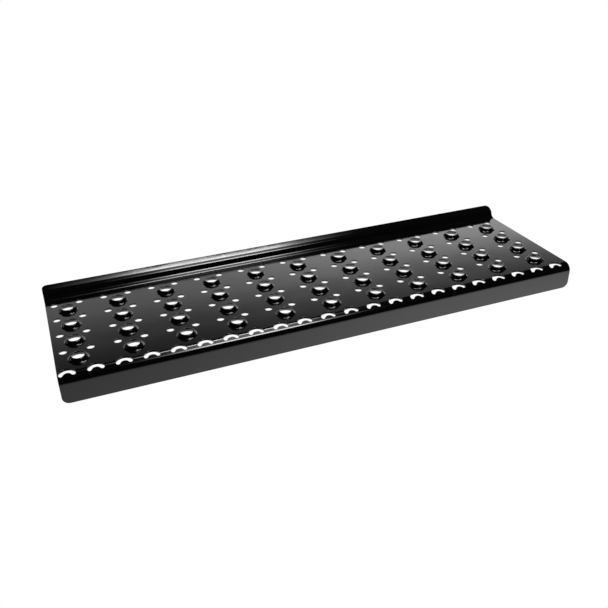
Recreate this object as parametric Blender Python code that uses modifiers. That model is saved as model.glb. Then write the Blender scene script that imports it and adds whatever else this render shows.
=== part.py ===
"""Running board for a truck: a punched and folded steel sheet, and the studs, washers and nuts that hold it.

Metres, +Z up. X runs along the board, the front skirt faces -Y, and the skirt's lower edge is at Z = 0.
The sheet is made as the press makes it: a flat blank, its buttons and holes, then its folds.
"""

import math

import bmesh
import bpy
from mathutils import Matrix, Vector

MM = 0.001

# The sheet
LENGTH = 558.8 * MM
SHEET = 1.9 * MM
SKIRT_HEIGHT = 28.5 * MM  # lower edge of the skirt to the tread's top
NOSE_RADIUS = 9.0 * MM  # on the outside of the front fold
SKIRT_CORNER = 7.0 * MM
NOSE_STEPS = 6
CORNER_STEPS = 4

# The rear flange rises from the tread in a hollow fold, then rolls back to a lip
RISE_RADIUS = 7.0 * MM  # on the side that faces the foot
RISE_TURN = math.radians(72)
RISE_FLAT = 0.5 * MM
ROLL_RADIUS = 7.5 * MM  # on the side that faces the foot
ROLL_TURN = math.radians(51)
LIP_FLAT = 7.0 * MM
FLANGE_CORNER = 5.0 * MM
RISE_STEPS = 5
ROLL_STEPS = 5

# The pattern: a column is a line of buttons with a line of drain holes on each side
COLUMNS = 11
ROWS = 4
COLUMN_PITCH = 50.8 * MM
ROW_PITCH = 31.75 * MM
PATTERN_SHIFT = -4.0 * MM  # the middle column stands this far from the board's middle along X
DRAIN_OFFSET = COLUMN_PITCH / 4  # so that all drain holes stand half a column apart
FRONT_MARGIN = 42.8 * MM  # front row of drain holes to the skirt's outer face
REAR_MARGIN = 9.0 * MM  # rear row of drain holes to the start of the flange's fold
BUTTON_SETBACK = ROW_PITCH / 2  # each row of buttons stands this far in front of its drain holes

# Drain holes
DRAIN_RADIUS = 3.65 * MM
DRAIN_SIDES = 8

# Buttons: heights are over the tread's top, and the mouth is on the underside
BUTTON_HEIGHT = 3.7 * MM
BUTTON_WAIST_HEIGHT = 1.2 * MM
BUTTON_FOOT_RADIUS = 10.4 * MM
BUTTON_WAIST_RADIUS = 8.4 * MM
BUTTON_TOP_RADIUS = 7.2 * MM
BUTTON_BORE_RADIUS = 5.75 * MM
BUTTON_MOUTH_RADIUS = 9.0 * MM
BUTTON_SIDES = 10

# Nose openings: kidney-shaped, with a round tongue that points up from the skirt's side
NOSE_HOLE_RADIUS = 7.7 * MM
NOSE_HOLE_SETBACK = 38.0 * MM  # front row of drain holes to the openings' centres, round the fold
NOSE_HOLE_CAP = 2.0 * MM  # radius of the two lower lobes
NOSE_HOLE_DROP = 1.1 * MM  # the centre to the bottom of the lobes
TONGUE_TOP = 2.0 * MM  # the centre to the tip of the tongue
ARCH_STEPS = 8
CAP_STEPS = 3
TONGUE_STEPS = 4

# Fasteners: M6 weld studs, flat washers and hexagon nuts
STATION_OFFSETS = (-4.5, -1.5, 1.5, 4.5)  # in column pitches from the middle
STUD_RADIUS = 3.0 * MM
STUD_LENGTH = 12.0 * MM
STUD_CHAMFER = 0.6 * MM
STUD_FOOT_RADIUS = 3.75 * MM
STUD_FOOT_HEIGHT = 1.0 * MM
WASHER_RADIUS = 6.0 * MM
WASHER_HEIGHT = 1.6 * MM
NUT_ACROSS_FLATS = 10.0 * MM
NUT_HEIGHT = 5.0 * MM
NUT_CHAMFER = 0.7 * MM
SEAT_GAP = 0.3 * MM  # between pieces that touch
THREAD_GAP = 0.3 * MM  # between a stud and what is on it
ROUND_SIDES = 16

CUT_PAST = 1.0 * MM  # how far a punch passes through the sheet
FOOT_DEPTH = 0.5 * MM  # how far a button's solid reaches into the sheet

# Worked out from the above
NOSE_ARC = NOSE_RADIUS * math.pi / 2
RISE_ARC = RISE_RADIUS * RISE_TURN
ROLL_ARC = ROLL_RADIUS * ROLL_TURN
LIP_SLOPE = RISE_TURN - ROLL_TURN
SKIRT_FLAT = SKIRT_HEIGHT - NOSE_RADIUS
TREAD_FLAT = FRONT_MARGIN - NOSE_RADIUS + (ROWS - 1) * ROW_PITCH + REAR_MARGIN
TREAD_START = SKIRT_FLAT + NOSE_ARC
TREAD_END = TREAD_START + TREAD_FLAT
RISE_END = TREAD_END + RISE_ARC
ROLL_START = RISE_END + RISE_FLAT
LIP_START = ROLL_START + ROLL_ARC
BLANK_WIDTH = LIP_START + LIP_FLAT
RISE_DEPTH = RISE_RADIUS * math.sin(RISE_TURN) + RISE_FLAT * math.cos(RISE_TURN)
RISE_HEIGHT = RISE_RADIUS * (1 - math.cos(RISE_TURN)) + RISE_FLAT * math.sin(RISE_TURN)
ROLL_DEPTH = ROLL_RADIUS * (math.sin(RISE_TURN) - math.sin(LIP_SLOPE))
LIP_DEPTH = LIP_FLAT * math.cos(LIP_SLOPE) + SHEET * math.sin(LIP_SLOPE)
PANEL_DEPTH = NOSE_RADIUS + TREAD_FLAT + RISE_DEPTH + ROLL_DEPTH + LIP_DEPTH
SKIRT_Y = -PANEL_DEPTH / 2
RISE_Y = SKIRT_Y + NOSE_RADIUS + TREAD_FLAT
FRONT_DRAIN_ROW = TREAD_START + FRONT_MARGIN - NOSE_RADIUS
NOSE_HOLE_ROW = FRONT_DRAIN_ROW - NOSE_HOLE_SETBACK


def clear_scene():
    for obj in list(bpy.data.objects):
        bpy.data.objects.remove(obj, do_unlink=True)


def new_collection(name, hidden=False):
    collection = bpy.data.collections.new(name)
    collection.hide_render = hidden
    bpy.context.scene.collection.children.link(collection)
    return collection


def material(name, colour, roughness, metallic):
    made = bpy.data.materials.new(name)
    made.use_nodes = True
    shader = made.node_tree.nodes["Principled BSDF"]
    shader.inputs["Base Color"].default_value = (*colour, 1.0)
    shader.inputs["Roughness"].default_value = roughness
    shader.inputs["Metallic"].default_value = metallic
    return made


def add_object(name, mesh, collection, surface=None):
    obj = bpy.data.objects.new(name, mesh)
    collection.objects.link(obj)
    if surface:
        mesh.materials.clear()
        mesh.materials.append(surface)
    return obj


def evaluated_mesh(obj):
    """The object's mesh with its modifiers applied."""
    bpy.context.view_layer.update()
    graph = bpy.context.evaluated_depsgraph_get()
    return bpy.data.meshes.new_from_object(obj.evaluated_get(graph))


def turned_mesh(name, profile, sides, collection):
    """A solid of revolution about Z. The profile is (radius, height) pairs, from the top down its outer side."""
    mesh = bpy.data.meshes.new(name)
    edges = [(i, i + 1) for i in range(len(profile) - 1)]
    if profile[0] == profile[-1]:
        profile = profile[:-1]
        edges[-1] = (len(profile) - 1, 0)
    mesh.from_pydata([(r, 0.0, z) for r, z in profile], edges, [])
    obj = add_object(name, mesh, collection)
    screw = obj.modifiers.new("Turn", "SCREW")
    screw.steps = sides
    screw.render_steps = sides
    screw.use_merge_vertices = True
    screw.merge_threshold = 0.00001
    result = evaluated_mesh(obj)
    bpy.data.objects.remove(obj, do_unlink=True)
    return result


def column_positions():
    return [(i - (COLUMNS - 1) / 2) * COLUMN_PITCH + PATTERN_SHIFT for i in range(COLUMNS)]


def drain_columns():
    return [x + side * DRAIN_OFFSET for x in column_positions() for side in (-1, 1)]


# The flat blank lies in X and Y with its top at Z = 0, and Y counts from the skirt's lower edge.


def fold_stations():
    """Where the blank is divided, so that each of its faces stays flat when it is folded."""
    nose = [SKIRT_FLAT + NOSE_ARC * i / NOSE_STEPS for i in range(NOSE_STEPS + 1)]
    rise = [TREAD_END + RISE_ARC * i / RISE_STEPS for i in range(RISE_STEPS + 1)]
    roll = [ROLL_START + ROLL_ARC * i / ROLL_STEPS for i in range(ROLL_STEPS + 1)]
    return sorted([0.0, *nose, *rise, *roll, BLANK_WIDTH])


def blank_mesh():
    blank = bmesh.new()
    bmesh.ops.create_cube(blank, size=1.0)
    for vert in blank.verts:
        vert.co.x *= LENGTH
        vert.co.y = (vert.co.y + 0.5) * BLANK_WIDTH
        vert.co.z = (vert.co.z - 0.5) * SHEET
    for at_front, radius in ((True, SKIRT_CORNER), (False, FLANGE_CORNER)):
        corners = [
            edge
            for edge in blank.edges
            if abs(edge.verts[0].co.z - edge.verts[1].co.z) > SHEET / 2
            and (edge.verts[0].co.y < BLANK_WIDTH / 2) == at_front
        ]
        bmesh.ops.bevel(blank, geom=corners, offset=radius, segments=CORNER_STEPS, profile=0.5, affect="EDGES")
    for station in fold_stations()[1:-1]:
        everything = blank.verts[:] + blank.edges[:] + blank.faces[:]
        bmesh.ops.bisect_plane(blank, geom=everything, dist=1e-7, plane_co=(0, station, 0), plane_no=(0, 1, 0))
    mesh = bpy.data.meshes.new("blank")
    blank.to_mesh(mesh)
    blank.free()
    return mesh


def kidney_outline():
    """Four arcs that run into each other: the arch, the two lobes' caps, and the hollow left by the tongue."""
    cap_y = NOSE_HOLE_CAP - NOSE_HOLE_DROP
    cap_x = math.sqrt((NOSE_HOLE_RADIUS - NOSE_HOLE_CAP) ** 2 - cap_y**2)
    rise = TONGUE_TOP - cap_y
    tongue = (cap_x**2 + rise**2 - NOSE_HOLE_CAP**2) / (2 * (NOSE_HOLE_CAP + rise))
    tongue_y = TONGUE_TOP - tongue
    lean = math.atan2(cap_y, cap_x)
    touch = math.atan2(cap_y - tongue_y, cap_x)
    arcs = (
        (0.0, 0.0, NOSE_HOLE_RADIUS, lean, math.pi - lean, ARCH_STEPS),
        (-cap_x, cap_y, NOSE_HOLE_CAP, math.pi - lean, 2 * math.pi - touch, CAP_STEPS),
        (0.0, tongue_y, tongue, math.pi - touch, touch, TONGUE_STEPS),
        (cap_x, cap_y, NOSE_HOLE_CAP, touch - math.pi, lean, CAP_STEPS),
    )
    outline = []
    for x, y, radius, start, end, steps in arcs:
        for i in range(steps):
            angle = start + (end - start) * i / steps
            outline.append((x + radius * math.cos(angle), y + radius * math.sin(angle)))
    return outline


def kidney_mesh():
    """A punch for one nose opening."""
    punch = bmesh.new()
    face = punch.faces.new([punch.verts.new((x, y, -SHEET - CUT_PAST)) for x, y in kidney_outline()])
    raised = bmesh.ops.extrude_face_region(punch, geom=[face])["geom"]
    moved = [item for item in raised if isinstance(item, bmesh.types.BMVert)]
    bmesh.ops.translate(punch, verts=moved, vec=(0, 0, SHEET + 2 * CUT_PAST))
    bmesh.ops.recalc_face_normals(punch, faces=punch.faces[:])
    mesh = bpy.data.meshes.new("kidney")
    punch.to_mesh(mesh)
    punch.free()
    return mesh


def place_punches(bodies, punches):
    """The buttons' solids to add to the blank, and the punches to take from it."""
    foot_slope = (BUTTON_FOOT_RADIUS - BUTTON_WAIST_RADIUS) / BUTTON_WAIST_HEIGHT
    body = turned_mesh(
        "button_body",
        [
            (0.0, BUTTON_HEIGHT),
            (BUTTON_TOP_RADIUS, BUTTON_HEIGHT),
            (BUTTON_WAIST_RADIUS, BUTTON_WAIST_HEIGHT),
            (BUTTON_FOOT_RADIUS + foot_slope * FOOT_DEPTH, -FOOT_DEPTH),
            (0.0, -FOOT_DEPTH),
        ],
        BUTTON_SIDES,
        bodies,
    )
    mouth_slope = (BUTTON_MOUTH_RADIUS - BUTTON_BORE_RADIUS) / (SHEET + BUTTON_WAIST_HEIGHT)
    bore = turned_mesh(
        "button_bore",
        [
            (0.0, BUTTON_HEIGHT + CUT_PAST),
            (BUTTON_BORE_RADIUS, BUTTON_HEIGHT + CUT_PAST),
            (BUTTON_BORE_RADIUS, BUTTON_WAIST_HEIGHT),
            (BUTTON_MOUTH_RADIUS + mouth_slope * CUT_PAST, -SHEET - CUT_PAST),
            (0.0, -SHEET - CUT_PAST),
        ],
        BUTTON_SIDES,
        punches,
    )
    drain = turned_mesh(
        "drain",
        [
            (0.0, CUT_PAST),
            (DRAIN_RADIUS, CUT_PAST),
            (DRAIN_RADIUS, -SHEET - CUT_PAST),
            (0.0, -SHEET - CUT_PAST),
        ],
        DRAIN_SIDES,
        punches,
    )
    for row in range(ROWS):
        drain_y = FRONT_DRAIN_ROW + row * ROW_PITCH
        for x in column_positions():
            place = (x, drain_y - BUTTON_SETBACK, 0.0)
            add_object("button_body", body, bodies).location = place
            add_object("button_bore", bore, punches).location = place
        for x in drain_columns():
            add_object("drain", drain, punches).location = (x, drain_y, 0.0)
    kidney = kidney_mesh()
    for x in drain_columns():
        add_object("kidney", kidney, punches).location = (x, NOSE_HOLE_ROW, 0.0)
    for obj in [*bodies.objects, *punches.objects]:
        obj.hide_render = True
        obj.display_type = "WIRE"


def folded(station):
    """(point, outward normal) on the folded sheet's top surface, this far from the skirt's lower edge."""
    if station <= SKIRT_FLAT:
        return Vector((0, SKIRT_Y, station)), Vector((0, -1, 0))
    if station <= TREAD_START:
        turn = (station - SKIRT_FLAT) / NOSE_RADIUS
        normal = Vector((0, -math.cos(turn), math.sin(turn)))
        centre = Vector((0, SKIRT_Y + NOSE_RADIUS, SKIRT_FLAT))
        return centre + normal * NOSE_RADIUS, normal
    if station <= TREAD_END:
        return Vector((0, SKIRT_Y + NOSE_RADIUS + station - TREAD_START, SKIRT_HEIGHT)), Vector((0, 0, 1))
    if station <= ROLL_START:
        turn = min((station - TREAD_END) / RISE_RADIUS, RISE_TURN)
        normal = Vector((0, -math.sin(turn), math.cos(turn)))
        centre = Vector((0, RISE_Y, SKIRT_HEIGHT + RISE_RADIUS))
        along = Vector((0, normal.z, -normal.y))
        return centre - normal * RISE_RADIUS + along * max(station - RISE_END, 0.0), normal
    slope = max(RISE_TURN - (station - ROLL_START) / ROLL_RADIUS, LIP_SLOPE)
    normal = Vector((0, -math.sin(slope), math.cos(slope)))
    start = Vector((0, RISE_Y + RISE_DEPTH, SKIRT_HEIGHT + RISE_HEIGHT))
    across = Vector((0, math.sin(RISE_TURN) - math.sin(slope), math.cos(slope) - math.cos(RISE_TURN)))
    along = Vector((0, math.cos(slope), math.sin(slope)))
    return start + across * ROLL_RADIUS + along * max(station - LIP_START, 0.0), normal


def fold_point(point, stations):
    """Where a point of the blank goes when the sheet is folded in flat facets between its stations."""
    index = max(i for i, station in enumerate(stations[:-1]) if station <= point.y + 1e-7)
    low, high = stations[index], stations[index + 1]
    share = (point.y - low) / (high - low)
    ends = [at + normal * point.z for at, normal in (folded(low), folded(high))]
    return ends[0].lerp(ends[1], share) + Vector((point.x, 0, 0))


def build_panel(collection, bodies, punches, surface):
    place_punches(bodies, punches)
    blank = add_object("blank", blank_mesh(), bodies)
    for name, operation, operand in (("Buttons", "UNION", bodies), ("Punches", "DIFFERENCE", punches)):
        boolean = blank.modifiers.new(name, "BOOLEAN")
        boolean.operation = operation
        boolean.operand_type = "COLLECTION"
        boolean.collection = operand
    bodies.objects.unlink(blank)
    punches.objects.link(blank)
    punches.objects.unlink(blank)
    collection.objects.link(blank)
    mesh = evaluated_mesh(blank)
    bpy.data.objects.remove(blank, do_unlink=True)
    stations = fold_stations()
    for vert in mesh.vertices:
        vert.co = fold_point(vert.co, stations)
    mesh.set_sharp_from_angle(angle=math.radians(30))
    return add_object("tread_panel", mesh, collection, surface)


def stud_mesh(collection):
    return turned_mesh(
        "stud",
        [
            (0.0, STUD_LENGTH),
            (STUD_RADIUS - STUD_CHAMFER, STUD_LENGTH),
            (STUD_RADIUS, STUD_LENGTH - STUD_CHAMFER),
            (STUD_RADIUS, STUD_FOOT_HEIGHT),
            (STUD_FOOT_RADIUS, STUD_FOOT_HEIGHT),
            (STUD_FOOT_RADIUS, SEAT_GAP),
            (0.0, SEAT_GAP),
        ],
        ROUND_SIDES,
        collection,
    )


def washer_mesh(collection):
    low = STUD_FOOT_HEIGHT + SEAT_GAP
    high = low + WASHER_HEIGHT
    inner = STUD_RADIUS + THREAD_GAP
    ring = [(inner, high), (WASHER_RADIUS, high), (WASHER_RADIUS, low), (inner, low), (inner, high)]
    return turned_mesh("washer", ring, ROUND_SIDES, collection)


def nut_mesh(collection):
    """A hexagonal prism, its corners turned off at both ends, with a hole through it."""
    low = STUD_FOOT_HEIGHT + WASHER_HEIGHT + 2 * SEAT_GAP
    high = low + NUT_HEIGHT
    corner = NUT_ACROSS_FLATS / math.sqrt(3)
    flat = NUT_ACROSS_FLATS / 2 * 0.96
    prism = bmesh.new()
    bmesh.ops.create_cone(
        prism, cap_ends=True, segments=6, radius1=corner, radius2=corner, depth=NUT_HEIGHT,
        matrix=Matrix.Translation((0, 0, (low + high) / 2)),
    )
    mesh = bpy.data.meshes.new("nut")
    prism.to_mesh(mesh)
    prism.free()
    nut = add_object("nut", mesh, collection)
    barrel = [
        (0.0, high + CUT_PAST),
        (flat, high + CUT_PAST),
        (flat, high),
        (corner + CUT_PAST, high - NUT_CHAMFER * 1.6),
        (corner + CUT_PAST, low + NUT_CHAMFER * 1.6),
        (flat, low),
        (flat, low - CUT_PAST),
        (0.0, low - CUT_PAST),
    ]
    hole = [
        (0.0, high + CUT_PAST),
        (STUD_RADIUS + THREAD_GAP, high + CUT_PAST),
        (STUD_RADIUS + THREAD_GAP, low - CUT_PAST),
        (0.0, low - CUT_PAST),
    ]
    helpers = []
    for name, operation, profile in (("barrel", "INTERSECT", barrel), ("hole", "DIFFERENCE", hole)):
        helper = add_object(name, turned_mesh(name, profile, ROUND_SIDES, collection), collection)
        boolean = nut.modifiers.new(name, "BOOLEAN")
        boolean.operation = operation
        boolean.object = helper
        helpers.append(helper)
    result = evaluated_mesh(nut)
    for obj in (nut, *helpers):
        bpy.data.objects.remove(obj, do_unlink=True)
    return result


def build_fasteners(collection, helpers, zinc):
    """Studs on the tread's underside, below its front and its rear row of drain holes, all pointing down."""
    meshes = {"stud": stud_mesh(helpers), "washer": washer_mesh(helpers), "nut": nut_mesh(helpers)}
    front = SKIRT_Y + FRONT_MARGIN
    for line, y in (("front", front), ("rear", front + (ROWS - 1) * ROW_PITCH)):
        for number, offset in enumerate(STATION_OFFSETS, start=1):
            for piece, mesh in meshes.items():
                obj = add_object(f"{line}_{piece}_{number}", mesh, collection, zinc)
                obj.rotation_euler = (math.pi, 0, 0)
                obj.location = (offset * COLUMN_PITCH + PATTERN_SHIFT, y, SKIRT_HEIGHT - SHEET)
                mesh.set_sharp_from_angle(angle=math.radians(30))


def main():
    clear_scene()
    board = new_collection("running_board")
    bodies = new_collection("button_bodies", hidden=True)
    punches = new_collection("punches", hidden=True)
    paint = material("gloss_black_paint", (0.012, 0.012, 0.013), 0.18, 0.0)
    zinc = material("zinc_plate", (0.55, 0.56, 0.58), 0.35, 1.0)
    build_panel(board, bodies, punches, paint)
    build_fasteners(board, punches, zinc)


main()
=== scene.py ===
"""Looks of the running board: a finely modelled painted panel, zinc-plated fasteners, and a plain studio.

Metres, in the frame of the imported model. The panel is made as it is in the workshop: a flat blank one column
wide gets its buttons, drain holes and nose openings, is folded, and is repeated along the board. The two end
columns reach to the board's ends. The fasteners are the CAD model's own, with a zinc surface.
"""

import math

import bmesh
import bpy
from mathutils import Matrix, Vector


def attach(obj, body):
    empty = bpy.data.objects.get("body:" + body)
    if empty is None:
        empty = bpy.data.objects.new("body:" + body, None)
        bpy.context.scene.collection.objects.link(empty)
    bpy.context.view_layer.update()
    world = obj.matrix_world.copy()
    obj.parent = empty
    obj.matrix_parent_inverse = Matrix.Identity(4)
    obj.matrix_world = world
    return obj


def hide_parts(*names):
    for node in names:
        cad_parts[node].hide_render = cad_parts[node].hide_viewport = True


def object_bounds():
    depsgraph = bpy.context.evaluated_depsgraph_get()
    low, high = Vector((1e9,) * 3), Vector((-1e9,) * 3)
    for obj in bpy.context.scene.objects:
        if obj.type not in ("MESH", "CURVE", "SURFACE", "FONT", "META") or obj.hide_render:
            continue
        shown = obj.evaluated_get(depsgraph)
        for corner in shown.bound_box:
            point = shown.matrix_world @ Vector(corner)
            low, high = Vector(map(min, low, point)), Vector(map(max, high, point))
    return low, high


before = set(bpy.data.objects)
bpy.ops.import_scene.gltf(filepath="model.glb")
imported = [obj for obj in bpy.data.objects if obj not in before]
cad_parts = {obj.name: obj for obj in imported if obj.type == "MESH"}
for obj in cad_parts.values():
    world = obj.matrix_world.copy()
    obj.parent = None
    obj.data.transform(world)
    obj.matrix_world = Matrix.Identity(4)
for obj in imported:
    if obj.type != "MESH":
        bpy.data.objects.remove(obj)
cad_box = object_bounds()

MM = 0.001

# The sheet, as in the CAD model but for the lip
SHEET = 1.9 * MM
SKIRT_HEIGHT = 28.5 * MM
NOSE_RADIUS = 9.0 * MM
SKIRT_CORNER = 7.0 * MM
RISE_RADIUS = 7.0 * MM
RISE_TURN = math.radians(72)
RISE_FLAT = 0.5 * MM
ROLL_RADIUS = 7.5 * MM
ROLL_TURN = math.radians(51)
LIP_FLAT = 6.85 * MM  # just short of the CAD model's, to stay inside its box
FLANGE_CORNER = 5.0 * MM
COLUMNS = 11
ROWS = 4
COLUMN_PITCH = 50.8 * MM
ROW_PITCH = 31.75 * MM
PATTERN_SHIFT = -4.0 * MM
DRAIN_OFFSET = COLUMN_PITCH / 4
FRONT_MARGIN = 42.8 * MM
REAR_MARGIN = 9.0 * MM
BUTTON_SETBACK = ROW_PITCH / 2
DRAIN_RADIUS = 3.65 * MM
NOSE_HOLE_RADIUS = 7.7 * MM
NOSE_HOLE_SETBACK = 38.0 * MM
NOSE_HOLE_CAP = 2.0 * MM
NOSE_HOLE_DROP = 1.1 * MM
TONGUE_TOP = 2.0 * MM

# A button's section: a hollow at its foot, a straight wall, a rounded crest, the bore and its flared mouth
BUTTON_HEIGHT = 3.7 * MM
BUTTON_FOOT_RADIUS = 10.4 * MM
FOOT_HOLLOW = 2.0 * MM
WALL_SLOPE = math.radians(65)
CREST_ROUND = 0.9 * MM
BUTTON_BORE_RADIUS = 5.75 * MM
BORE_ROUND = 0.5 * MM

# How finely the surfaces are divided
BUTTON_SIDES = 64
DRAIN_SIDES = 48
ARCH_SIDES = 36
CAP_SIDES = 10
TONGUE_SIDES = 14
ROUND_STEPS = 5
FOOT_STEPS = 8
CREST_STEPS = 7
MOUTH_STEPS = 10
UNDERSIDE_STEPS = 3
RIM_STEPS = 4
FOLD_STEP = math.radians(5)
CORNER_STEPS = 14
RIM_ROUND = 0.4 * MM  # on the sheet's cut edges, where paint softens them
HOLE_ROUND = 0.3 * MM
EASE = math.radians(8)  # a rounded edge meets its face at this angle, so that the cut is clean
REACH = 1.0 * MM  # how far a cutter passes the sheet
MERGE = 0.002 * MM

# Worked out from the above
SKIRT_Y = cad_box[0][1]
LENGTH = cad_box[1][0] - cad_box[0][0]
NOSE_ARC = NOSE_RADIUS * math.pi / 2
RISE_ARC = RISE_RADIUS * RISE_TURN
ROLL_ARC = ROLL_RADIUS * ROLL_TURN
LIP_SLOPE = RISE_TURN - ROLL_TURN
SKIRT_FLAT = SKIRT_HEIGHT - NOSE_RADIUS
TREAD_FLAT = FRONT_MARGIN - NOSE_RADIUS + (ROWS - 1) * ROW_PITCH + REAR_MARGIN
TREAD_START = SKIRT_FLAT + NOSE_ARC
TREAD_END = TREAD_START + TREAD_FLAT
RISE_END = TREAD_END + RISE_ARC
ROLL_START = RISE_END + RISE_FLAT
LIP_START = ROLL_START + ROLL_ARC
BLANK_WIDTH = LIP_START + LIP_FLAT
RISE_Y = SKIRT_Y + NOSE_RADIUS + TREAD_FLAT
RISE_DEPTH = RISE_RADIUS * math.sin(RISE_TURN) + RISE_FLAT * math.cos(RISE_TURN)
RISE_HEIGHT = RISE_RADIUS * (1 - math.cos(RISE_TURN)) + RISE_FLAT * math.sin(RISE_TURN)
FRONT_DRAIN_ROW = TREAD_START + FRONT_MARGIN - NOSE_RADIUS
NOSE_HOLE_ROW = FRONT_DRAIN_ROW - NOSE_HOLE_SETBACK


# Meshes


def link(name, mesh, surface=None):
    obj = bpy.data.objects.new(name, mesh)
    bpy.context.scene.collection.objects.link(obj)
    if surface:
        mesh.materials.clear()
        mesh.materials.append(surface)
    return obj


def mesh_of(name, working):
    mesh = bpy.data.meshes.new(name)
    working.to_mesh(mesh)
    working.free()
    return mesh


def evaluated_mesh(obj):
    bpy.context.view_layer.update()
    graph = bpy.context.evaluated_depsgraph_get()
    return bpy.data.meshes.new_from_object(obj.evaluated_get(graph))


def add_stack(working, rings):
    """A closed solid between rings of points, each with as many points as the next, from the top down."""
    loops = [[working.verts.new(point) for point in ring] for ring in rings]
    for upper, lower in zip(loops, loops[1:]):
        for i in range(len(upper)):
            j = (i + 1) % len(upper)
            working.faces.new((upper[i], lower[i], lower[j], upper[j]))
    working.faces.new(loops[0])
    working.faces.new(list(reversed(loops[-1])))


def circle(radius, sides):
    turns = [2 * math.pi * i / sides for i in range(sides)]
    return [(radius * math.cos(turn), radius * math.sin(turn)) for turn in turns]


def turned_rings(profile, sides):
    """Rings of a solid of revolution about Z from (radius, height) pairs, top first."""
    return [[(x, y, height) for x, y in circle(radius, sides)] for radius, height in profile]


def placed(rings, x, y):
    return [[(px + x, py + y, pz) for px, py, pz in ring] for ring in rings]


def arc(centre, radius, first, last, steps=ROUND_STEPS):
    """Points on a circle of the (radius, height) plane, angles counted from its outward direction."""
    angles = [first + (last - first) * i / steps for i in range(steps + 1)]
    return [(centre[0] + radius * math.cos(a), centre[1] + radius * math.sin(a)) for a in angles]


def button_body_profile():
    """The button's outer surface, running a little way into the sheet."""
    half = math.pi / 2
    hollow = (BUTTON_FOOT_RADIUS, FOOT_HOLLOW)
    foot = arc(hollow, FOOT_HOLLOW, 3 * half - WALL_SLOPE, 3 * half - EASE, FOOT_STEPS)
    rise = BUTTON_HEIGHT - CREST_ROUND * (1 - math.cos(WALL_SLOPE)) - foot[0][1]
    shoulder = foot[0][0] - rise / math.tan(WALL_SLOPE)
    crest = (shoulder - CREST_ROUND * math.sin(WALL_SLOPE), BUTTON_HEIGHT - CREST_ROUND)
    top = arc(crest, CREST_ROUND, half, half - WALL_SLOPE, CREST_STEPS)
    sunk = (foot[-1][0] + REACH, foot[-1][1] - REACH * math.tan(EASE))
    floor = -SHEET / 3
    return [(top[0][0] / 2, BUTTON_HEIGHT), *top, *foot, sunk, (sunk[0], floor)], crest[0]


def bore_profile(crest_radius):
    """The bore: an eased inner edge at the crest, and a mouth that flares out below, as the pressing does."""
    half = math.pi / 2
    lip_centre = (BUTTON_BORE_RADIUS + BORE_ROUND, BUTTON_HEIGHT - BORE_ROUND)
    lip = arc(lip_centre, BORE_ROUND, half + EASE, 2 * half)
    outer = crest_radius + REACH / 4
    start = (outer, lip[0][1] + (outer - lip[0][0]) * math.tan(EASE))
    mouth_round = BUTTON_FOOT_RADIUS - BUTTON_BORE_RADIUS
    mouth_centre = (BUTTON_FOOT_RADIUS, mouth_round - SHEET)
    mouth = arc(mouth_centre, mouth_round, 2 * half, 3 * half - EASE, MOUTH_STEPS)
    end = (mouth[-1][0] + REACH, mouth[-1][1] - REACH * math.tan(EASE))
    return [(start[0], BUTTON_HEIGHT + REACH), start, *lip, *mouth, end, (end[0], -SHEET - REACH)]


def edge_profile():
    """(outward offset, height) of a hole's edges: rounded on top, eased below."""
    half = math.pi / 2
    top = arc((HOLE_ROUND, -HOLE_ROUND), HOLE_ROUND, half + EASE, 2 * half)
    start = (top[0][0] + HOLE_ROUND, top[0][1] + HOLE_ROUND * math.tan(EASE))
    low_centre = (HOLE_ROUND, HOLE_ROUND - SHEET)
    low = arc(low_centre, HOLE_ROUND, 2 * half, 3 * half - EASE, UNDERSIDE_STEPS)
    end = (low[-1][0] + HOLE_ROUND, low[-1][1] - HOLE_ROUND * math.tan(EASE))
    return [(start[0], REACH), start, *top, *low, end, (end[0], -SHEET - REACH)]


def kidney_outline():
    """A nose opening's outline: the arch, the caps of its two lobes, and the hollow left by the tongue."""
    cap_y = NOSE_HOLE_CAP - NOSE_HOLE_DROP
    cap_x = math.sqrt((NOSE_HOLE_RADIUS - NOSE_HOLE_CAP) ** 2 - cap_y**2)
    rise = TONGUE_TOP - cap_y
    tongue = (cap_x**2 + rise**2 - NOSE_HOLE_CAP**2) / (2 * (NOSE_HOLE_CAP + rise))
    tongue_y = TONGUE_TOP - tongue
    lean = math.atan2(cap_y, cap_x)
    touch = math.atan2(cap_y - tongue_y, cap_x)
    arcs = (
        (0.0, 0.0, NOSE_HOLE_RADIUS, lean, math.pi - lean, ARCH_SIDES),
        (-cap_x, cap_y, NOSE_HOLE_CAP, math.pi - lean, 2 * math.pi - touch, CAP_SIDES),
        (0.0, tongue_y, tongue, math.pi - touch, touch, TONGUE_SIDES),
        (cap_x, cap_y, NOSE_HOLE_CAP, touch - math.pi, lean, CAP_SIDES),
    )
    outline = []
    for x, y, radius, start, end, sides in arcs:
        for i in range(sides):
            angle = start + (end - start) * i / sides
            outline.append(Vector((x + radius * math.cos(angle), y + radius * math.sin(angle))))
    return outline


def offset_outline(outline, distance):
    """The outline moved outwards, each corner along its own mitre."""
    moved = []
    count = len(outline)
    for i, point in enumerate(outline):
        before = (point - outline[i - 1]).normalized()
        after = (outline[(i + 1) % count] - point).normalized()
        mitre = Vector((before.y + after.y, -before.x - after.x)).normalized()
        stretch = max(mitre.dot(Vector((after.y, -after.x))), 0.5)
        moved.append(point + mitre * (distance / stretch))
    return moved


# The blank lies in X and Y with its top at Z = 0, and Y counts from the skirt's lower edge


def fold_stations():
    spans = (
        (SKIRT_FLAT, TREAD_START, math.pi / 2),
        (TREAD_END, RISE_END, RISE_TURN),
        (ROLL_START, LIP_START, ROLL_TURN),
    )
    stations = []
    for start, end, turn in spans:
        steps = math.ceil(turn / FOLD_STEP)
        stations += [start + (end - start) * i / steps for i in range(steps + 1)]
    return sorted(set(stations))


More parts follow.
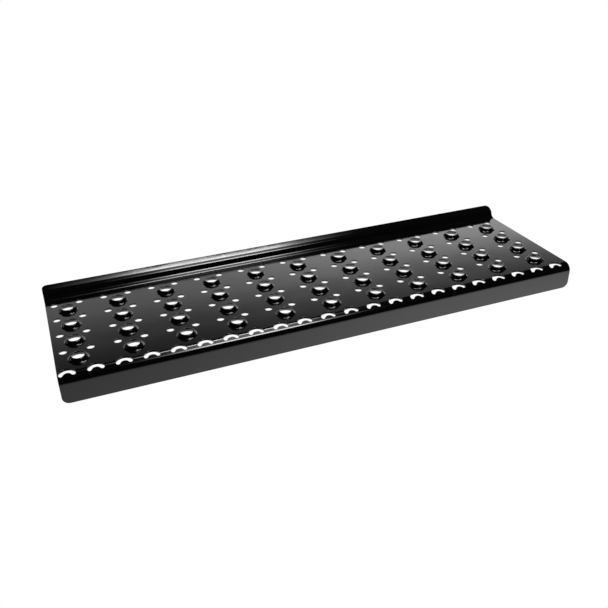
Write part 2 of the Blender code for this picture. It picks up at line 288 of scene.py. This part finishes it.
def blank_column(left, right, corner_side):
    """A stretch of the blank from left to right. On corner_side, if not 0, it has the board's corners."""
    blank = bmesh.new()
    bmesh.ops.create_cube(blank, size=1.0)
    for vert in blank.verts:
        vert.co.x = right if vert.co.x > 0 else left
        vert.co.y = (vert.co.y + 0.5) * BLANK_WIDTH
        vert.co.z = (vert.co.z - 0.5) * SHEET
    for at_front, radius in ((True, SKIRT_CORNER), (False, FLANGE_CORNER)):
        corner = [
            edge
            for edge in blank.edges
            if abs(edge.verts[0].co.z - edge.verts[1].co.z) > SHEET / 2
            and edge.verts[0].co.x * corner_side > 0
            and (edge.verts[0].co.y < BLANK_WIDTH / 2) == at_front
        ]
        if corner:
            bmesh.ops.bevel(
                blank, geom=corner, offset=radius, segments=CORNER_STEPS, profile=0.5, affect="EDGES"
            )
    rim = []
    for edge in blank.edges:
        flat = abs(edge.verts[0].co.z - edge.verts[1].co.z) < SHEET / 2
        if flat and not on_seam(edge, corner_side):
            rim.append(edge)
    bmesh.ops.bevel(blank, geom=rim, offset=RIM_ROUND, segments=RIM_STEPS, profile=0.5, affect="EDGES")
    return mesh_of("blank", blank)


def on_seam(item, corner_side):
    """Whether an edge or a face lies where this column's piece meets a neighbour."""
    sides = [side for side in (-1, 1) if side != corner_side]
    return any(all(abs(v.co.x - side * COLUMN_PITCH / 2) < MERGE for v in item.verts) for side in sides)


def punched(blank):
    """The blank with the column's buttons added, and every hole cut."""
    body_profile, crest_radius = button_body_profile()
    body = turned_rings(body_profile, BUTTON_SIDES)
    bore = turned_rings(bore_profile(crest_radius), BUTTON_SIDES)
    drain = turned_rings([(DRAIN_RADIUS + out, z) for out, z in edge_profile()], DRAIN_SIDES)
    outline = kidney_outline()
    kidney = [[(p.x, p.y, z) for p in offset_outline(outline, out)] for out, z in edge_profile()]
    bodies = bmesh.new()
    cutters = bmesh.new()
    for row in range(ROWS):
        drain_y = FRONT_DRAIN_ROW + row * ROW_PITCH
        add_stack(bodies, placed(body, 0.0, drain_y - BUTTON_SETBACK))
        add_stack(cutters, placed(bore, 0.0, drain_y - BUTTON_SETBACK))
        for x in (-DRAIN_OFFSET, DRAIN_OFFSET):
            add_stack(cutters, placed(drain, x, drain_y))
    for x in (-DRAIN_OFFSET, DRAIN_OFFSET):
        add_stack(cutters, placed(kidney, x, NOSE_HOLE_ROW))
    obj = link("blank", blank)
    helpers = []
    for operation, working in (("UNION", bodies), ("DIFFERENCE", cutters)):
        bmesh.ops.recalc_face_normals(working, faces=working.faces[:])
        helper = link(operation, mesh_of(operation, working))
        boolean = obj.modifiers.new(operation, "BOOLEAN")
        boolean.operation = operation
        boolean.object = helper
        helpers.append(helper)
    result = evaluated_mesh(obj)
    for used in (obj, *helpers):
        bpy.data.objects.remove(used, do_unlink=True)
    return result


def folded(station):
    """(point, outward normal) on the folded sheet's top surface, this far from the skirt's lower edge."""
    if station <= SKIRT_FLAT:
        return Vector((0, SKIRT_Y, station)), Vector((0, -1, 0))
    if station <= TREAD_START:
        turn = (station - SKIRT_FLAT) / NOSE_RADIUS
        normal = Vector((0, -math.cos(turn), math.sin(turn)))
        centre = Vector((0, SKIRT_Y + NOSE_RADIUS, SKIRT_FLAT))
        return centre + normal * NOSE_RADIUS, normal
    if station <= TREAD_END:
        return Vector((0, SKIRT_Y + NOSE_RADIUS + station - TREAD_START, SKIRT_HEIGHT)), Vector((0, 0, 1))
    if station <= ROLL_START:
        turn = min((station - TREAD_END) / RISE_RADIUS, RISE_TURN)
        normal = Vector((0, -math.sin(turn), math.cos(turn)))
        centre = Vector((0, RISE_Y, SKIRT_HEIGHT + RISE_RADIUS))
        along = Vector((0, normal.z, -normal.y))
        return centre - normal * RISE_RADIUS + along * max(station - RISE_END, 0.0), normal
    slope = max(RISE_TURN - (station - ROLL_START) / ROLL_RADIUS, LIP_SLOPE)
    normal = Vector((0, -math.sin(slope), math.cos(slope)))
    start = Vector((0, RISE_Y + RISE_DEPTH, SKIRT_HEIGHT + RISE_HEIGHT))
    across = Vector((0, math.sin(RISE_TURN) - math.sin(slope), math.cos(slope) - math.cos(RISE_TURN)))
    along = Vector((0, math.cos(slope), math.sin(slope)))
    return start + across * ROLL_RADIUS + along * max(station - LIP_START, 0.0), normal


def fold_point(point):
    place, normal = folded(point.y)
    return place + normal * point.z + Vector((point.x, 0, 0))


def folded_column(left, right, corner_side=0):
    """One column of the board round its line of buttons, open where it meets its neighbours."""
    column = bmesh.new()
    column.from_mesh(punched(blank_column(left, right, corner_side)))
    for station in fold_stations():
        everything = column.verts[:] + column.edges[:] + column.faces[:]
        bmesh.ops.bisect_plane(
            column, geom=everything, dist=MERGE / 2, plane_co=(0, station, 0), plane_no=(0, 1, 0)
        )
    open_faces = [face for face in column.faces if on_seam(face, corner_side)]
    bmesh.ops.delete(column, geom=open_faces, context="FACES")
    for vert in column.verts:
        vert.co = fold_point(vert.co)
    return mesh_of("column", column)


def build_panel(paint):
    half = COLUMN_PITCH / 2
    first = PATTERN_SHIFT - (COLUMNS - 1) / 2 * COLUMN_PITCH
    last = PATTERN_SHIFT + (COLUMNS - 1) / 2 * COLUMN_PITCH
    left_end = folded_column(-LENGTH / 2 - first, half, -1)
    right_end = folded_column(-half, LENGTH / 2 - last, 1)
    middle = folded_column(-half, half)
    board = bmesh.new()
    for number in range(COLUMNS):
        shape = {0: left_end, COLUMNS - 1: right_end}.get(number, middle)
        mesh = shape.copy()
        mesh.transform(Matrix.Translation((first + number * COLUMN_PITCH, 0, 0)))
        board.from_mesh(mesh)
        bpy.data.meshes.remove(mesh)
    bmesh.ops.remove_doubles(board, verts=board.verts[:], dist=MERGE)
    mesh = mesh_of("painted_panel", board)
    mesh.shade_smooth()
    panel = link("painted_panel", mesh, paint)
    weighted = panel.modifiers.new("Normals", "WEIGHTED_NORMAL")
    weighted.weight = 100
    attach(panel, "root")
    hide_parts("tread_panel")


# Materials


def new_material(name):
    made = bpy.data.materials.new(name)
    made.use_nodes = True
    nodes = made.node_tree.nodes
    return made, nodes, made.node_tree.links, nodes["Principled BSDF"]


def noise(nodes, links, coordinates, scale, detail=2.0):
    texture = nodes.new("ShaderNodeTexNoise")
    texture.inputs["Scale"].default_value = scale
    texture.inputs["Detail"].default_value = detail
    links.new(coordinates, texture.inputs["Vector"])
    return texture.outputs["Fac"]


def ramp(nodes, links, value, low, high):
    """The value's middle range spread between low and high."""
    spread = nodes.new("ShaderNodeMapRange")
    spread.inputs["From Min"].default_value = 0.3
    spread.inputs["From Max"].default_value = 0.7
    spread.inputs["To Min"].default_value = low
    spread.inputs["To Max"].default_value = high
    links.new(value, spread.inputs["Value"])
    return spread.outputs["Result"]


def bump(nodes, links, height, distance, strength=1.0, under=None):
    made = nodes.new("ShaderNodeBump")
    made.inputs["Distance"].default_value = distance
    made.inputs["Strength"].default_value = strength
    links.new(height, made.inputs["Height"])
    if under:
        links.new(under, made.inputs["Normal"])
    return made.outputs["Normal"]


def gloss_paint():
    """Gloss black paint: a slight orange peel, long ripples of the sheet, and faint dust in the gloss."""
    made, nodes, links, shader = new_material("gloss_black_paint")
    place = nodes.new("ShaderNodeTexCoord").outputs["Object"]
    shader.inputs["Base Color"].default_value = (0.002, 0.002, 0.0022, 1.0)
    shader.inputs["IOR"].default_value = 1.5
    roughness = ramp(nodes, links, noise(nodes, links, place, 60.0, 4.0), 0.05, 0.11)
    links.new(roughness, shader.inputs["Roughness"])
    ripple = bump(nodes, links, noise(nodes, links, place, 18.0, 1.0), 0.00012)
    peel = bump(nodes, links, noise(nodes, links, place, 420.0, 2.0), 0.0000025, under=ripple)
    links.new(peel, shader.inputs["Normal"])
    return made


def zinc_plate():
    """Bright zinc: small spangles in tint and gloss, and fine machining marks."""
    made, nodes, links, shader = new_material("zinc_plate")
    place = nodes.new("ShaderNodeTexCoord").outputs["Object"]
    cells = nodes.new("ShaderNodeTexVoronoi")
    cells.inputs["Scale"].default_value = 900.0
    links.new(place, cells.inputs["Vector"])
    tint = nodes.new("ShaderNodeMix")
    tint.data_type = "RGBA"
    tint.inputs["A"].default_value = (0.50, 0.52, 0.55, 1.0)
    tint.inputs["B"].default_value = (0.64, 0.65, 0.66, 1.0)
    links.new(ramp(nodes, links, noise(nodes, links, place, 350.0, 3.0), 0.0, 1.0), tint.inputs["Factor"])
    links.new(tint.outputs["Result"], shader.inputs["Base Color"])
    shader.inputs["Metallic"].default_value = 1.0
    links.new(ramp(nodes, links, cells.outputs["Distance"], 0.22, 0.38), shader.inputs["Roughness"])
    marks = bump(nodes, links, noise(nodes, links, place, 2500.0, 2.0), 0.000004)
    links.new(marks, shader.inputs["Normal"])
    return made


def falloff(nodes, links, value, levels):
    """A grey level that follows the value through (position, level) pairs."""
    curve = nodes.new("ShaderNodeFloatCurve")
    points = curve.mapping.curves[0].points
    highest = max(level for _, level in levels)
    while len(points) < len(levels):
        points.new(0.5, 0.5)
    for point, (position, level) in zip(points, levels):
        point.location = (position, level / highest)
    curve.mapping.update()
    links.new(value, curve.inputs["Value"])
    return curve.outputs["Value"]


def glow(name, strength, across=None, upward=None):
    """A surface that gives light, shaded along its width and its height."""
    made = bpy.data.materials.new(name)
    made.use_nodes = True
    nodes, links = made.node_tree.nodes, made.node_tree.links
    nodes.clear()
    lamp = nodes.new("ShaderNodeEmission")
    links.new(lamp.outputs["Emission"], nodes.new("ShaderNodeOutputMaterial").inputs["Surface"])
    place = nodes.new("ShaderNodeSeparateXYZ")
    links.new(nodes.new("ShaderNodeTexCoord").outputs["Generated"], place.inputs["Vector"])
    product = nodes.new("ShaderNodeMath")
    product.operation = "MULTIPLY"
    product.inputs[0].default_value = 1.0
    product.inputs[1].default_value = 1.0
    for socket, axis, levels in ((0, "X", across), (1, "Y", upward)):
        if levels:
            links.new(falloff(nodes, links, place.outputs[axis], levels), product.inputs[socket])
    scaled = nodes.new("ShaderNodeMath")
    scaled.operation = "MULTIPLY"
    scaled.inputs[1].default_value = strength
    links.new(product.outputs["Value"], scaled.inputs[0])
    links.new(scaled.outputs["Value"], lamp.inputs["Strength"])
    return made


def pool_of_light():
    """The glow that the gloss sees in the floor: strongest by the board, and gone further out in front."""
    made = glow("pool_of_light", 1.0)
    nodes, links = made.node_tree.nodes, made.node_tree.links
    place = nodes.new("ShaderNodeSeparateXYZ")
    links.new(nodes.new("ShaderNodeTexCoord").outputs["Object"], place.inputs["Vector"])
    product = nodes.new("ShaderNodeMath")
    product.operation = "MULTIPLY"
    fades = ((0, "X", POOL_SPAN, POOL_ALONG), (1, "Y", POOL_REACH, POOL_OUTWARD))
    for socket, axis, (start, end), levels in fades:
        position = nodes.new("ShaderNodeMapRange")
        position.inputs["From Min"].default_value = start
        position.inputs["From Max"].default_value = end
        links.new(place.outputs[axis], position.inputs["Value"])
        links.new(falloff(nodes, links, position.outputs["Result"], levels), product.inputs[socket])
    scaled = nodes.new("ShaderNodeMath")
    scaled.operation = "MULTIPLY"
    scaled.inputs[1].default_value = POOL_GLOW
    links.new(product.outputs["Value"], scaled.inputs[0])
    links.new(scaled.outputs["Value"], nodes["Emission"].inputs["Strength"])
    return made


# The studio


def panel_light(name, middle, size, surface):
    """A flat light that faces the middle of the board, and that the camera doesn't see."""
    working = bmesh.new()
    bmesh.ops.create_grid(working, x_segments=1, y_segments=1, size=0.5)
    mesh = mesh_of(name, working)
    mesh.transform(Matrix.Diagonal((size[0], size[1], 1.0, 1.0)))
    obj = link(name, mesh, surface)
    obj.location = middle
    across = Vector((1, 0, 0))
    facing = -Vector((0, middle[1], middle[2])).normalized()
    obj.rotation_euler = Matrix((across, facing.cross(across), facing)).transposed().to_euler()
    obj.visible_camera = False


def build_studio():
    """Two floors, one that the camera sees and one that lights the board, and the lights over them."""
    floors = (("floor", glow("pale_floor", 1.0), FLOOR_DROP), ("floor_glow", pool_of_light(), 2 * FLOOR_DROP))
    for name, surface, drop in floors:
        floor_mesh = bmesh.new()
        bmesh.ops.create_grid(floor_mesh, x_segments=1, y_segments=1, size=FLOOR_REACH)
        floor = link(name, mesh_of(name, floor_mesh), surface)
        floor.location = (0, 0, cad_box[0][2] - drop)
        floor.visible_glossy = name == "floor_glow"
        floor.visible_camera = name == "floor"
        floor.visible_diffuse = name == "floor_glow"
    for name, distance, angle, size, middle_x, strength, across, upward in LIGHTS:
        turn = math.radians(angle)
        middle = (middle_x, distance * math.cos(turn), distance * math.sin(turn))
        panel_light(name, middle, size, glow(name, strength, across, upward))
    world = bpy.data.worlds.new("studio")
    world.use_nodes = True
    world.node_tree.nodes["Background"].inputs["Color"].default_value = (1, 1, 1, 1)
    world.node_tree.nodes["Background"].inputs["Strength"].default_value = WORLD_GLOW
    bpy.context.scene.world = world


FLOOR_REACH = 9.0
FLOOR_DROP = 0.2 * MM
WORLD_GLOW = 0.012

# Shadings of a light from one side to the other, as (position, level)
SOFT_ENDS = ((0.0, 0.0), (0.15, 0.08), (0.38, 0.95), (0.5, 1.0), (0.62, 0.95), (0.85, 0.08), (1.0, 0.0))
STRONGER_RIGHT = ((0.0, 0.45), (0.36, 0.5), (0.65, 1.0), (1.0, 1.0))
EVEN_THEN_DARK = ((0.0, 1.0), (0.72, 1.0), (0.86, 0.36), (1.0, 0.0))

# Name, distance, angle over the board from +Y, size, middle along X, strength, shading across and upward
LIGHTS = (
    ("backdrop", 3.0, 18.0, (6.0, 1.95), 0.8, 1.9, STRONGER_RIGHT, EVEN_THEN_DARK),
    ("rear_strip", 2.0, 70.0, (1.25, 0.26), 0.31, 20.0, SOFT_ENDS, None),
    ("overhead", 1.75, 94.0, (0.95, 1.15), 0.31, 2.6, SOFT_ENDS, None),
    ("front_strip", 1.5, 121.0, (0.85, 0.32), 0.27, 20.0, SOFT_ENDS, None),
)

# The glow in the floor: how strong, and how it fades along the board and outwards in front of it
POOL_GLOW = 1.75
POOL_SPAN = (-0.6, 0.6)
POOL_ALONG = ((0.0, 0.35), (0.25, 0.5), (0.42, 0.75), (0.6, 1.0), (0.72, 0.95), (0.8, 0.65), (1.0, 0.4))
POOL_REACH = (-0.55, 0.2)
POOL_OUTWARD = ((0.0, 0.0), (0.2, 0.02), (0.4, 0.2), (0.55, 0.8), (0.62, 1.0), (1.0, 1.0))

# The camera: where it stands from the left button column at the front drain row, and where it looks
CAMERA_FROM_COLUMN = (-3.2 * MM, -597.9 * MM, 359.7 * MM)
CAMERA_LENS = 41.87
CAMERA_YAW = math.radians(21.27)
CAMERA_PITCH = math.radians(-29.51)
CAMERA_ROLL = math.radians(-1.18)


def build_camera():
    camera = bpy.data.cameras.new("camera")
    camera.type = "PERSP"
    camera.lens = CAMERA_LENS
    camera.sensor_width = 36.0
    camera.clip_start = 0.01
    camera.clip_end = 50.0
    obj = bpy.data.objects.new("camera", camera)
    bpy.context.scene.collection.objects.link(obj)
    first = PATTERN_SHIFT - (COLUMNS - 1) / 2 * COLUMN_PITCH
    column = Vector((first, SKIRT_Y + FRONT_MARGIN, SKIRT_HEIGHT))
    obj.location = column + Vector(CAMERA_FROM_COLUMN)
    turn = Matrix.Rotation(-CAMERA_YAW, 3, "Z") @ Matrix.Rotation(math.pi / 2 + CAMERA_PITCH, 3, "X")
    obj.rotation_euler = (turn @ Matrix.Rotation(CAMERA_ROLL, 3, "Z")).to_euler()
    bpy.context.scene.camera = obj
    bpy.context.scene.view_settings.view_transform = "Standard"


build_camera()
build_studio()
build_panel(gloss_paint())
zinc = zinc_plate()
for node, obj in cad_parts.items():
    if node != "tread_panel":
        obj.data.materials.clear()
        obj.data.materials.append(zinc)
